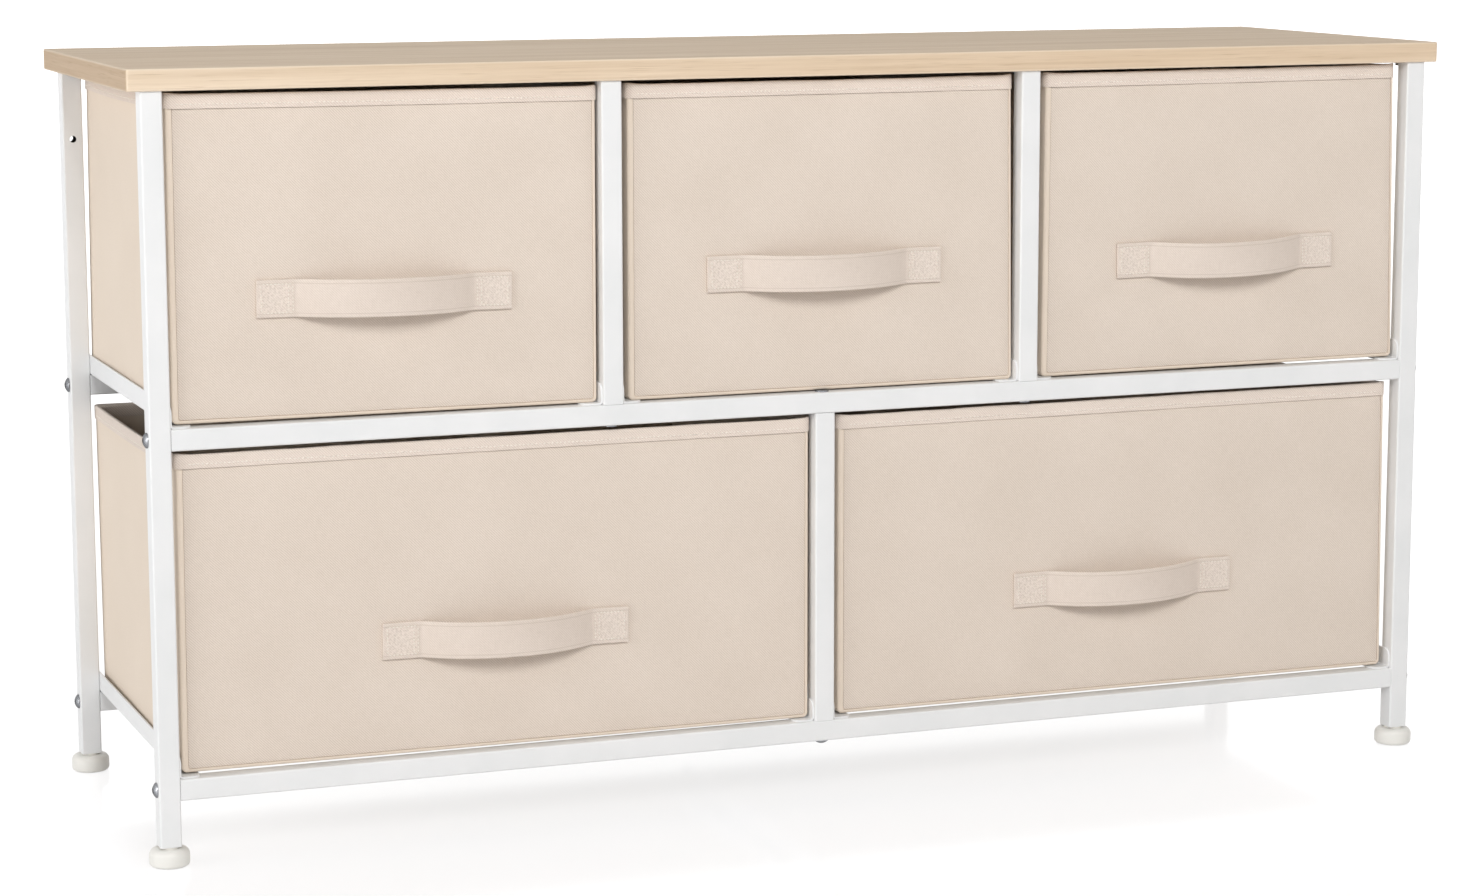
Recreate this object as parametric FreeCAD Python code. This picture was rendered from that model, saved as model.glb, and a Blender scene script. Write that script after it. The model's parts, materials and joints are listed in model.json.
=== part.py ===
# Fabric drawer dresser: an oak-faced board on a white steel tube frame, with three upper and two lower
# sewn fabric drawers that slide on folded angle runners, and four screw-in levelling feet.
# Millimetres, +Z up, front towards -Y. The origin is on the floor, at the middle of the overall box.
import FreeCAD, Part
import math
import os

from FreeCAD import Vector

# Top board
board_width = 1000.0
board_depth = 305.0
board_thickness = 15.0
board_corner_radius = 2.5
board_edge_radius = 1.0
board_end_overhang = 9.5
board_front_overhang = 2.5

# Square steel tube of legs, rails and posts
tube_side = 15.0
tube_wall = 1.0
tube_corner_radius = 1.4

# Heights over the floor
foot_height = 14.0
rail_clearance = 46.0
bay_height = 227.0

# Folded angle runners under the drawers
runner_height = 15.0
runner_width = 15.0
runner_sheet = 1.2
runner_bend_radius = 1.0
runner_setback = 3.0
runner_corner_radius = 6.0

# Threaded fasteners: bolts, tube inserts and the feet's studs share one thread
thread_diameter = 6.0
thread_clearance = 0.05
bolt_hole_clearance = 0.25
bolt_length = 28.0
bolt_head_diameter = 10.5
bolt_head_height = 3.2
bolt_head_rim = 0.9
bolt_socket_width = 4.0
bolt_socket_depth = 1.8
low_head_diameter = 10.0
low_head_height = 1.1
insert_length = 12.0
insert_clearance = 0.1

# Wall-anchor holes through the rear legs
anchor_hole_diameter = 5.0
anchor_hole_drop = 51.0

# Tabs and screws that hold the board down
tab_width = 13.0
tab_length = 17.0
tab_sheet = 1.5
tab_corner_radius = 4.0
screw_diameter = 3.5
screw_clearance = 0.05
screw_hole_clearance = 0.4
screw_length = 11.0
screw_head_diameter = 7.5
screw_head_height = 2.0
pilot_spare_depth = 1.0

# Levelling feet
foot_diameter = 28.0
foot_pad_height = 12.6
foot_base_chamfer = 2.5
foot_rim_height = 3.6
foot_shoulder_inset = 1.4
foot_shoulder_height = 4.0
foot_top_diameter = 19.0
foot_neck_diameter = 14.4
foot_stud_length = 20.0

# Fabric drawers
drawer_setback = 8.0
drawer_rear_setback = 7.0
drawer_top_gap = 3.5
drawer_lift = 0.3
upper_drawer_gap = 4.5
lower_drawer_gap = 6.0
bin_edge_radius = 5.0
bin_wall = 2.6
bin_floor = 1.6
front_cover = 1.2
front_lining = 1.0
front_board_thickness = 3.0
pocket_clearance = 0.2
pocket_seam = 8.0
pocket_rise = 7.0
base_board_thickness = 3.0
base_board_clearance = 1.0
hem_height = 9.4
hem_cover = 0.8

# Strap handles
strap_length = 181.0
strap_width = 26.0
strap_thickness = 2.4
strap_patch = 27.0
strap_reach = 20.0
strap_curl_radius = 35.0
strap_height = 83.0

# Cuts run past the faces that they open
overrun = 1.0
parallel_share = 0.001

# Places that follow from the sizes
leg_spread = board_depth - 2 * board_front_overhang
strap_overhang = strap_reach - drawer_setback
foot_overhang = (foot_diameter - tube_side) / 2
overall_depth = strap_overhang + leg_spread + foot_overhang
frame_front = strap_overhang - overall_depth / 2
frame_rear = frame_front + leg_spread
front_line = frame_front + tube_side / 2
rear_line = frame_rear - tube_side / 2
board_front = frame_front - board_front_overhang
leg_x = board_width / 2 - board_end_overhang - tube_side / 2
leg_inner_x = leg_x - tube_side / 2
leg_outer_x = leg_x + tube_side / 2
upper_opening = 2 * (leg_inner_x - tube_side) / 3
lower_opening = leg_inner_x - tube_side / 2
upper_post_x = (upper_opening + tube_side) / 2
bottom_rail_top = rail_clearance + tube_side
mid_rail_base = bottom_rail_top + bay_height
mid_rail_top = mid_rail_base + tube_side
board_base = mid_rail_top + bay_height
board_top = board_base + board_thickness
anchor_hole_z = board_base - anchor_hole_drop
drawer_front = frame_front + drawer_setback
drawer_rear = frame_rear - drawer_rear_setback
drawer_height = bay_height - runner_sheet - drawer_lift - drawer_top_gap
pocket_thickness = front_board_thickness + 2 * pocket_clearance
front_wall = front_cover + pocket_thickness + front_lining

X_AXIS = Vector(1, 0, 0)
Y_AXIS = Vector(0, 1, 0)
Z_AXIS = Vector(0, 0, 1)
end_lines = {"front": front_line, "rear": rear_line}
inward_signs = {"front": 1, "rear": -1}
sides = {"left": -1, "right": 1}

# Each bay: middle, clear width, gap beside the drawer and the level of the rails below it
bays = {
    "upper_left": (-upper_opening - tube_side, upper_opening, upper_drawer_gap, mid_rail_top),
    "upper_middle": (0, upper_opening, upper_drawer_gap, mid_rail_top),
    "upper_right": (upper_opening + tube_side, upper_opening, upper_drawer_gap, mid_rail_top),
    "lower_left": (-(lower_opening + tube_side) / 2, lower_opening, lower_drawer_gap, bottom_rail_top),
    "lower_right": ((lower_opening + tube_side) / 2, lower_opening, lower_drawer_gap, bottom_rail_top),
}


def block(low, high):
    """A plain box between two corners."""
    size = high.sub(low)
    return Part.makeBox(size.x, size.y, size.z, low)


def edges_along(shape, axis):
    """The straight edges of a box that run along an axis."""
    found = []
    for edge in shape.Edges:
        run = edge.Vertexes[-1].Point.sub(edge.Vertexes[0].Point)
        if run.cross(axis).Length < run.Length * parallel_share:
            found.append(edge)
    return found


def rounded_block(low, high, radius, axis):
    """A box with its four edges along one axis rounded."""
    box = block(low, high)
    return box.makeFillet(radius, edges_along(box, axis))


def rod(radius, start, axis, length):
    """A round bar or drill."""
    return Part.makeCylinder(radius, length, start, axis)


def aim(shape, place, direction):
    """Moves a shape made along +Z at the origin to a place, pointing along a direction."""
    shape.Placement = FreeCAD.Placement(place, FreeCAD.Rotation(Z_AXIS, direction))
    return shape


def turned(edges):
    """Revolves a closed outline, drawn in X (radius) and Z, about the Z axis."""
    return Part.Face(Part.Wire(edges)).revolve(Vector(0, 0, 0), Z_AXIS, 360)


def outline(points):
    """Joins points in X and Z by straight edges, left open."""
    corners = [Vector(x, 0, z) for x, z in points]
    return [Part.makeLine(a, b) for a, b in zip(corners, corners[1:])]


def quarter_arc(centre_x, centre_z, radius, start_angle):
    """A quarter circle in X and Z, counted anticlockwise from its start angle in degrees."""
    points = []
    for step in range(3):
        angle = math.radians(start_angle + 45 * step)
        points.append(Vector(centre_x + radius * math.cos(angle), 0, centre_z + radius * math.sin(angle)))
    return Part.Arc(*points).toShape()


def tube(start, direction, length):
    """A square tube with rounded corners, its middle line starting at a place."""
    half = tube_side / 2
    bore = half - tube_wall
    outer = rounded_block(Vector(-half, -half, 0), Vector(half, half, length), tube_corner_radius, Z_AXIS)
    inner = block(Vector(-bore, -bore, -overrun), Vector(bore, bore, length + overrun))
    return aim(outer.cut(inner), start, direction)


def bolt_drill(place, axis):
    """A clearance drill for one bolt, right through a tube whose middle is at the place."""
    reach = tube_side / 2 + overrun
    start = place.sub(Vector(axis).multiply(reach))
    return rod(thread_diameter / 2 + bolt_hole_clearance, start, axis, 2 * reach)


def tube_insert():
    """A threaded plug for a tube's end, its mouth at the origin and its body along +Z."""
    half = tube_side / 2 - tube_wall - insert_clearance
    body = block(Vector(-half, -half, 0), Vector(half, half, insert_length))
    drill_length = insert_length + 2 * overrun
    bore = rod(thread_diameter / 2 + thread_clearance, Vector(0, 0, -overrun), Z_AXIS, drill_length)
    return body.cut(bore)


def shank(head, diameter, length):
    """Adds a screw's shank along +Z to a head that seats at the origin."""
    return head.fuse(rod(diameter / 2, Vector(0, 0, 0), Z_AXIS, length)).removeSplitter()


def domed_head(diameter, height, rim):
    """A domed screw head below the origin, with a short straight rim."""
    radius = diameter / 2
    crown = Vector(0, 0, -height)
    rim_edge = Vector(radius, 0, -rim)
    rise = height - rim
    sphere = (radius * radius + rise * rise) / (2 * rise)
    angle = math.asin(radius / sphere) / 2
    middle = Vector(sphere * math.sin(angle), 0, -height + sphere * (1 - math.cos(angle)))
    edges = [Part.Arc(crown, middle, rim_edge).toShape()]
    edges += outline([(radius, -rim), (radius, 0), (0, 0), (0, -height)])
    return turned(edges)


def flat_head(diameter, height):
    """A plain disc of a screw head below the origin."""
    return rod(diameter / 2, Vector(0, 0, -height), Z_AXIS, height)


def hex_socket(width, depth, top):
    """A hexagon recess cut upwards from a head's lowest level."""
    corner = width / math.sqrt(3)
    points = []
    for step in range(7):
        angle = math.radians(60 * step)
        points.append(Vector(corner * math.cos(angle), corner * math.sin(angle), top - overrun))
    return Part.Face(Part.makePolygon(points)).extrude(Vector(0, 0, depth + overrun))


def frame_bolt():
    """A button-head bolt, its head seated at the origin and its shank along +Z."""
    head = domed_head(bolt_head_diameter, bolt_head_height, bolt_head_rim)
    bolt = shank(head, thread_diameter, bolt_length)
    return bolt.cut(hex_socket(bolt_socket_width, bolt_socket_depth, -bolt_head_height))


def low_head_bolt():
    """A thin flat-headed bolt for places that a drawer passes closely."""
    return shank(flat_head(low_head_diameter, low_head_height), thread_diameter, bolt_length)


def board_screw():
    """A pan-head screw, its head seated at the origin and its shank along +Z."""
    return shank(flat_head(screw_head_diameter, screw_head_height), screw_diameter, screw_length)


def tab_places():
    """Where the board's tabs stand: their middle, the tube face that they leave and the way they run."""
    places = []
    for end, line in end_lines.items():
        inward = inward_signs[end]
        for x in (-leg_x, -upper_post_x, upper_post_x, leg_x):
            places.append((x, line + inward * tube_side / 2, inward))
    return places


def screw_spot(tab, level):
    """The middle of a tab at a level, where its screw goes."""
    x, face, inward = tab
    return Vector(x, face + inward * tab_length / 2, level)


def board_tab(tab):
    """A thin tab under the board, with the two free corners rounded and one screw hole."""
    x, face, inward = tab
    tip = face + inward * tab_length
    low = Vector(x - tab_width / 2, min(face, tip), board_base - tab_sheet)
    high = Vector(x + tab_width / 2, max(face, tip), board_base)
    plate = block(low, high)
    free = [edge for edge in edges_along(plate, Z_AXIS) if abs(edge.CenterOfMass.y - tip) < tab_length / 2]
    plate = plate.makeFillet(tab_corner_radius, free)
    drill_start = screw_spot(tab, board_base - tab_sheet - overrun)
    drill_length = tab_sheet + 2 * overrun
    return plate.cut(rod(screw_diameter / 2 + screw_hole_clearance, drill_start, Z_AXIS, drill_length))


def top_board():
    """The board, with eased edges and blind pilot holes for the tab screws."""
    low = Vector(-board_width / 2, board_front, board_base)
    high = Vector(board_width / 2, board_front + board_depth, board_top)
    board = rounded_block(low, high, board_corner_radius, Z_AXIS)
    rims = [edge for edge in board.Edges if edge.BoundBox.ZLength < board_thickness / 2]
    board = board.makeFillet(board_edge_radius, rims)
    pilot_depth = screw_length - tab_sheet + pilot_spare_depth
    for tab in tab_places():
        start = screw_spot(tab, board_base - overrun)
        board = board.cut(rod(screw_diameter / 2 + screw_clearance, start, Z_AXIS, pilot_depth + overrun))
    return board


def leg(side, line, has_anchor_hole):
    """One leg, drilled across for the rail bolts and, at the rear, front to back for a wall anchor."""
    x = side * leg_x
    shape = tube(Vector(x, line, foot_height), Z_AXIS, board_base - foot_height)
    for base in (rail_clearance, mid_rail_base):
        shape = shape.cut(bolt_drill(Vector(x, line, base + tube_side / 2), X_AXIS))
    if has_anchor_hole:
        reach = tube_side / 2 + overrun
        start = Vector(x, line - reach, anchor_hole_z)
        shape = shape.cut(rod(anchor_hole_diameter / 2, start, Y_AXIS, 2 * reach))
    return shape


def rail(line, base, post_places):
    """One rail between the legs, drilled upright where posts are bolted to it."""
    level = base + tube_side / 2
    shape = tube(Vector(-leg_inner_x, line, level), X_AXIS, 2 * leg_inner_x)
    for x in post_places:
        shape = shape.cut(bolt_drill(Vector(x, line, level), Z_AXIS))
    return shape


def runner(face_x, side, base):
    """A folded angle: one flange on the frame's side face, the other under the drawer, ends rounded."""
    outer = runner_bend_radius + runner_sheet
    start = frame_front + runner_setback
    length = leg_spread - 2 * runner_setback
    upright = outline([(0, outer), (0, runner_height), (runner_sheet, runner_height), (runner_sheet, outer)])
    lying = outline([(outer, runner_sheet), (runner_width, runner_sheet), (runner_width, 0), (outer, 0)])
    bends = [quarter_arc(outer, outer, radius, 180) for radius in (runner_bend_radius, outer)]
    wire = Part.Wire(Part.__sortEdges__(upright + lying + bends))
    angle = Part.Face(wire).extrude(Vector(0, length, 0))
    corners = [edge for edge in edges_along(angle, Z_AXIS) if edge.CenterOfMass.x > runner_width / 2]
    tips = [edge for edge in edges_along(angle, X_AXIS) if edge.CenterOfMass.z > runner_height / 2]
    angle = angle.makeFillet(runner_corner_radius, corners + tips)
    if side > 0:
        angle = angle.mirror(Vector(0, 0, 0), X_AXIS)
    angle.translate(Vector(face_x, start, base))
    return angle


def levelling_foot(x, y):
    """A round plastic pad with a neck that seats on the leg's end and a stud up into its insert."""
    rim = foot_diameter / 2
    neck = foot_neck_diameter / 2
    stud = thread_diameter / 2
    stud_top = foot_height + foot_stud_length
    rim_top = foot_base_chamfer + foot_rim_height
    profile = [
        (0, stud_top),
        (0, 0),
        (rim - foot_base_chamfer, 0),
        (rim, foot_base_chamfer),
        (rim, rim_top),
        (rim - foot_shoulder_inset, rim_top + foot_shoulder_height),
        (foot_top_diameter / 2, foot_pad_height),
        (neck, foot_pad_height),
        (neck, foot_height),
        (stud, foot_height),
        (stud, stud_top),
        (0, stud_top),
    ]
    return aim(turned(outline(profile)), Vector(x, y, 0), Z_AXIS)


def rim_block(centre_x, half_width, front, rear, low, high, radius):
    """A box standing on a drawer's plan, with its upright corners rounded."""
    return rounded_block(
        Vector(centre_x - half_width, front, low), Vector(centre_x + half_width, rear, high), radius, Z_AXIS
    )


def drawer_pieces(centre_x, opening, gap, rail_top):
    """One fabric drawer: sewn bin, hem, stiffening boards and strap handle."""
    half = opening / 2 - gap
    base = rail_top + runner_sheet + drawer_lift
    top = base + drawer_height
    bin_top = top - hem_cover
    hem_base = top - hem_height
    cavity_half = half - bin_wall
    cavity_front = drawer_front + front_wall
    cavity_rear = drawer_rear - bin_wall
    cavity_radius = bin_edge_radius - bin_wall
    floor = base + bin_floor

    outer = block(Vector(centre_x - half, drawer_front, base), Vector(centre_x + half, drawer_rear, bin_top))
    soft = [edge for edge in outer.Edges if edge.BoundBox.ZMin < bin_top - hem_height]
    outer = outer.makeFillet(bin_edge_radius, soft)
    cavity = rim_block(
        centre_x, cavity_half, cavity_front, cavity_rear, floor, bin_top + overrun, cavity_radius
    )
    pocket_half = half - pocket_seam
    pocket_front = drawer_front + front_cover
    pocket_base = base + pocket_rise
    pocket = block(
        Vector(centre_x - pocket_half, pocket_front, pocket_base),
        Vector(centre_x + pocket_half, pocket_front + pocket_thickness, bin_top + overrun),
    )
    sewn_bin = outer.cut(cavity).cut(pocket)

    hem = rim_block(
        centre_x, half + hem_cover, drawer_front - hem_cover, drawer_rear + hem_cover,
        hem_base, top, bin_edge_radius + hem_cover,
    )
    mouth = rim_block(
        centre_x, cavity_half - hem_cover, cavity_front + hem_cover, cavity_rear - hem_cover,
        hem_base - overrun, top + overrun, cavity_radius - hem_cover,
    )
    wall = rim_block(centre_x, half, drawer_front, drawer_rear, hem_base - overrun, bin_top, bin_edge_radius)
    hem = hem.cut(mouth).cut(wall.cut(cavity))

    board_half = pocket_half - pocket_clearance
    board_face = pocket_front + pocket_clearance
    front_board = block(
        Vector(centre_x - board_half, board_face, pocket_base),
        Vector(centre_x + board_half, board_face + front_board_thickness, bin_top - pocket_clearance),
    )
    base_half = cavity_half - base_board_clearance
    base_board = rim_block(
        centre_x, base_half, cavity_front + base_board_clearance, cavity_rear - base_board_clearance,
        floor, floor + base_board_thickness, cavity_radius,
    )
    return {
        "bin": sewn_bin,
        "hem": hem,
        "front_board": front_board,
        "base_board": base_board,
        "handle": strap_handle(centre_x, base + strap_height),
    }


def strap_handle(centre_x, level):
    """A sewn strap: flat patches at both ends and a bowed loop between, standing out from the drawer."""
    half_span = strap_length / 2 - strap_patch
    rise = strap_reach - strap_thickness
    turn = 2 * math.atan(rise / half_span)
    loop_radius = half_span / math.sin(turn) - strap_curl_radius
    loop_centre = -rise + loop_radius

    def face_points(depth):
        """The joints and arc middles of the strap's face that lies at a depth towards the front."""
        curl = strap_curl_radius - depth
        loop = loop_radius + depth
        points = [(-strap_length / 2, -depth), (-half_span, -depth)]
        for angle in (turn / 2, turn):
            x = curl * math.sin(angle) - half_span
            points.append((x, curl * (math.cos(angle) - 1) - depth))
        points.append((0, loop_centre - loop))
        return points + [(-x, y) for x, y in reversed(points[:-1])]

    def face_edges(depth):
        """One face of the strap: patch, curl, loop, curl, patch."""
        p = [Vector(centre_x + x, drawer_front + y, level - strap_width / 2) for x, y in face_points(depth)]
        return [
            Part.makeLine(p[0], p[1]),
            Part.Arc(p[1], p[2], p[3]).toShape(),
            Part.Arc(p[3], p[4], p[5]).toShape(),
            Part.Arc(p[5], p[6], p[7]).toShape(),
            Part.makeLine(p[7], p[8]),
        ]

    inner = face_edges(0)
    outer = face_edges(strap_thickness)
    closings = [
        Part.makeLine(inner[0].Vertexes[0].Point, outer[0].Vertexes[0].Point),
        Part.makeLine(inner[-1].Vertexes[-1].Point, outer[-1].Vertexes[-1].Point),
    ]
    wire = Part.Wire(Part.__sortEdges__(inner + outer + closings))
    return Part.Face(wire).extrude(Vector(0, 0, strap_width))


def frame_tubes():
    """Legs, rails and posts."""
    tubes = {}
    for end, line in end_lines.items():
        for side, sign in sides.items():
            tubes[f"leg_{end}_{side}"] = leg(sign, line, end == "rear")
            start = Vector(sign * upper_post_x, line, mid_rail_top)
            tubes[f"upper_post_{end}_{side}"] = tube(start, Z_AXIS, bay_height)
        tubes[f"lower_post_{end}"] = tube(Vector(0, line, bottom_rail_top), Z_AXIS, bay_height)
        tubes[f"bottom_rail_{end}"] = rail(line, rail_clearance, [0])
        tubes[f"mid_rail_{end}"] = rail(line, mid_rail_base, [-upper_post_x, 0, upper_post_x])
    return tubes


def fasteners():
    """Bolts, tube inserts, tabs and screws, one list of separate solids for each kind."""
    down = Z_AXIS.negative()
    bolts = []
    low_bolts = []
    inserts = []
    for line in end_lines.values():
        for sign in sides.values():
            inwards = X_AXIS * -sign
            for base in (rail_clearance, mid_rail_base):
                level = base + tube_side / 2
                bolts.append(aim(frame_bolt(), Vector(sign * leg_outer_x, line, level), inwards))
                inserts.append(aim(tube_insert(), Vector(sign * leg_inner_x, line, level), inwards))
            post_x = sign * upper_post_x
            low_bolts.append(aim(low_head_bolt(), Vector(post_x, line, mid_rail_base), Z_AXIS))
            inserts.append(aim(tube_insert(), Vector(post_x, line, mid_rail_top), Z_AXIS))
            inserts.append(aim(tube_insert(), Vector(sign * leg_x, line, foot_height), Z_AXIS))
        bolts.append(aim(frame_bolt(), Vector(0, line, rail_clearance), Z_AXIS))
        inserts.append(aim(tube_insert(), Vector(0, line, bottom_rail_top), Z_AXIS))
        low_bolts.append(aim(low_head_bolt(), Vector(0, line, mid_rail_top), down))
        inserts.append(aim(tube_insert(), Vector(0, line, mid_rail_base), down))
    tabs = [board_tab(tab) for tab in tab_places()]
    screws = [aim(board_screw(), screw_spot(tab, board_base - tab_sheet), Z_AXIS) for tab in tab_places()]
    return {
        "frame_bolts": Part.makeCompound(bolts),
        "low_head_bolts": Part.makeCompound(low_bolts),
        "tube_inserts": Part.makeCompound(inserts),
        "board_tabs": Part.makeCompound(tabs),
        "board_screws": Part.makeCompound(screws),
    }


def runners_and_drawers():
    """For each bay, its two runners and the pieces of its drawer."""
    pieces = {}
    for bay, (centre_x, opening, gap, rail_top) in bays.items():
        for side, sign in sides.items():
            pieces[f"{bay}_runner_{side}"] = runner(centre_x + sign * opening / 2, sign, rail_top)
        for piece, shape in drawer_pieces(centre_x, opening, gap, rail_top).items():
            pieces[f"{bay}_{piece}"] = shape
    return pieces


def feet():
    """The four levelling feet."""
    pieces = {}
    for end, line in end_lines.items():
        for side, sign in sides.items():
            pieces[f"foot_{end}_{side}"] = levelling_foot(sign * leg_x, line)
    return pieces


nodes = {"top_board": top_board(), **frame_tubes(), **fasteners(), **runners_and_drawers(), **feet()}
os.makedirs("parts", exist_ok=True)
for name, shape in nodes.items():
    solids = shape.Solids
    whole = solids[0] if len(solids) == 1 else Part.makeCompound(solids)
    whole.exportStep(f"parts/{name}.step")
    state = "valid" if whole.isValid() else "NOT VALID"
    print(name, len(solids), "solids", round(whole.Volume), "mm3", state)
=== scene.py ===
import json
import math

import bmesh
import bpy
from mathutils import Matrix, Vector


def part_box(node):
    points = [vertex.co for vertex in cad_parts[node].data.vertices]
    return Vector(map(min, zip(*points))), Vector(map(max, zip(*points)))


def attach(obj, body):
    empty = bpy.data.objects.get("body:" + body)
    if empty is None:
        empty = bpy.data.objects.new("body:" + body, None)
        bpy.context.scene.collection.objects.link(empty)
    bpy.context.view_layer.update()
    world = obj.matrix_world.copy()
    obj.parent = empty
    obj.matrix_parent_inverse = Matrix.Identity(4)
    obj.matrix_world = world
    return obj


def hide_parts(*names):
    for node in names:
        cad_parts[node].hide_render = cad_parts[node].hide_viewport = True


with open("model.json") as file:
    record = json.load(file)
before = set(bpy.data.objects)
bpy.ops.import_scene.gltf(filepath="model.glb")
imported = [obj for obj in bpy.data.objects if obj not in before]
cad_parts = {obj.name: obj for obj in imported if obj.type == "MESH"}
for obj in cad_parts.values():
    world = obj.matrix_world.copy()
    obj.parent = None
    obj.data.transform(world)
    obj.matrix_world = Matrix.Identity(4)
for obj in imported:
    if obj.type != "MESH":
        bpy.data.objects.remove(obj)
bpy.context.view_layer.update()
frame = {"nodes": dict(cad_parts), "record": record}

MM = 0.001
HAIR = 0.05 * MM
BAYS = ("upper_left", "upper_middle", "upper_right", "lower_left", "lower_right")
ENDS = ("front", "rear")
SIDES = ("left", "right")

# Sewn drawer
WALL = 2.6 * MM
FRONT_WALL = 5.6 * MM
FLOOR = 1.6 * MM
RIM_SUNK = 1.8 * MM
EDGE_ROLL = 2.2 * MM
LOWER_CORNER = 3.6 * MM
SEAM_LAP = 0.3 * MM
SEAM_LEFT = 1.5 * MM
SEAM_DEPTH = 0.9 * MM
PANEL_GAP = 0.35 * MM
PANEL_CORNER = 1.8 * MM
PANEL_THICK = 0.6 * MM
PANEL_SUNK = 0.2 * MM
PANEL_CROWN = 0.9 * MM
PANEL_WAVE = 0.9 * MM
PANEL_CELL = 8.0 * MM
PANEL_TUCK = 4.0 * MM
PANEL_PULL = 30.0 * MM
PANEL_EDGE = 0.25 * MM
PANEL_WAVE_LONG = 90.0 * MM
WALL_WAVE = 2.6 * MM
WALL_CELL = 24.0 * MM
WALL_WAVE_LONG = 110.0 * MM
SLACK_FADE = 50.0 * MM
SLACK_RIM = 40.0 * MM
INSET_PLAY = 0.6 * MM
STIFFENER_EDGE = 0.3 * MM

# Bound rim
BAND = 4.4 * MM
BAND_CLOTH = 0.7 * MM
BAND_FOLD = 0.9 * MM
BAND_INNER_FOLD = 0.85 * MM
BAND_FALL = 1.4 * MM
BAND_CORNER = 5.2 * MM
BAND_CELL = 9.0 * MM
BAND_CELL_UP = 3.5 * MM
BAND_WAVE = 0.8 * MM
BAND_WAVE_LONG = 35.0 * MM
BAND_LONGER = 0.6 * MM
BAND_PROUD = 0.4 * MM
EAR = 0.9 * MM
EAR_SPAN = 12.0 * MM

# Strap
STRAP_PATCH = 27.0 * MM
STRAP_THICK = 2.2 * MM
STRAP_BEND = 5.0 * MM
STRAP_BOW = 42.0 * MM
STRAP_CELLS = (110, 10)
STRAP_EDGE = 0.75 * MM
STRAP_FOLD = 4.5 * MM
STRAP_FOLD_RUN = 2.0 * MM
STRAP_FOLD_HIGH = 0.25 * MM
SEWN_NEAR = 68.0 * MM
SEWN_FAR = 92.5 * MM
SEWN_FADE = 1.5 * MM
SEWN_HALF = 10.5 * MM
SEWN_HALF_FADE = 1.3 * MM
FOLD_LINE = 10.3 * MM
FOLD_LINE_WIDE = 0.5 * MM

# Thread
STITCH_LONG = 2.2 * MM
STITCH_PITCH = 3.0 * MM
STITCH_WIDE = 1.0 * MM
STITCH_HIGH = 0.8 * MM
RIM_STITCH_UP = 3.0 * MM
RIM_STITCH_END = 2.0 * MM
BOX_STITCH_LONG = 1.9 * MM
BOX_STITCH_PITCH = 2.6 * MM
BOX_STITCH_IN = 3.2 * MM
BOX_STITCH_FLAT = 18.0 * MM
BOX_STITCH_OUTER = 3.4 * MM
BOX_STITCH_INNER = 25.4 * MM
BOX_STITCH_SECOND = 22.4 * MM

# Foot
PAD_HEIGHT = 12.6 * MM
PAD_UPPER_ROUND = 4.6 * MM
PAD_LOWER_ROUND = 2.8 * MM
NECK_RADIUS = 6.9 * MM
COLLAR_RADIUS = 7.3 * MM
STUD_RADIUS = 2.9 * MM
NECK_TOP = 14.0 * MM
NECK_SHARE = 0.7
SOLE_RIM = 2.0 * MM
SOLE_STEP = 1.0 * MM
SOLE_DEEP = 0.5 * MM

# How each drawer's cloth sits in its bay, in millimetres: the sideways shift of its left and right walls at
# the base and at the rim, how far its front rises off the rail and its front rim lifts, each at the left and
# right, how far its front rim leans out, the drop of its rear rim, how far its left and right walls sag, how
# far its rear left corner is drawn in at the base and at the rim, and its strap's shift, rise, slope and droop
SEAT = {
    "upper_left": dict(
        base=(-2.0, 2.4),
        rim=(-1.4, 2.4),
        front=(0.4, -0.4),
        lift=(1.2, 0.0),
        lean=1.0,
        rear=1.0,
        sag=(2.0, 1.5),
        tuck=(0.0, 1.6),
        strap=(-1.7, -0.1, -0.0076, 0.2),
    ),
    "upper_middle": dict(
        base=(2.0, 2.4),
        rim=(2.0, -0.6),
        front=(-0.5, -0.5),
        lift=(0.5, 0.5),
        lean=0.5,
        rear=1.5,
        sag=(1.5, 2.5),
        tuck=(0.0, 0.0),
        strap=(1.8, 4.0, 0.0024, 0.9),
    ),
    "upper_right": dict(
        base=(2.6, 1.7),
        rim=(2.6, -4.1),
        front=(-0.3, 0.5),
        lift=(1.2, 2.0),
        lean=2.0,
        rear=1.0,
        sag=(2.5, 2.0),
        tuck=(0.0, 0.0),
        strap=(3.4, 1.7, 0.012, 2.0),
    ),
    "lower_left": dict(
        base=(-3.0, 3.6),
        rim=(-1.8, 3.6),
        front=(0.9, 0.1),
        lift=(0.0, -0.35),
        lean=0.0,
        rear=4.8,
        sag=(3.0, 2.5),
        tuck=(2.0, 0.0),
        strap=(1.8, -1.3, -0.006, 0.9),
    ),
    "lower_right": dict(
        base=(0.0, 0.6),
        rim=(0.0, -2.2),
        front=(0.7, 0.6),
        lift=(0.0, 0.8),
        lean=0.0,
        rear=2.0,
        sag=(3.0, 4.0),
        tuck=(0.0, 0.0),
        strap=(2.9, 0.1, 0.0045, 1.1),
    ),
}

# Legs, for their uncoated insides, which are painted dark as bare steel and as shade inside the tubes
LEG_X = 483.0 * MM
LEG_Y = 2.75 * MM
LEG_Y_SPREAD = 142.5 * MM
TUBE_INSIDE = 6.6 * MM

# Studio, with the camera fitted to the photo
FLOOR_RADIUS = 14.0
FLOOR_DROP = 0.4 * MM
CAMERA_PLACE = (-0.966206, -2.495085, 0.671306)
CAMERA_TURN = (0.3661, 0.1596, -0.0015)
CAMERA_LENS = 86.727


# Shop helpers
def take(piece):
    bpy.ops.object.select_all(action="DESELECT")
    piece.select_set(True)
    bpy.context.view_layer.objects.active = piece


def edit(piece):
    take(piece)
    bpy.ops.object.mode_set(mode="EDIT")
    bpy.ops.mesh.select_all(action="DESELECT")


def done():
    bpy.ops.object.mode_set(mode="OBJECT")


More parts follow.
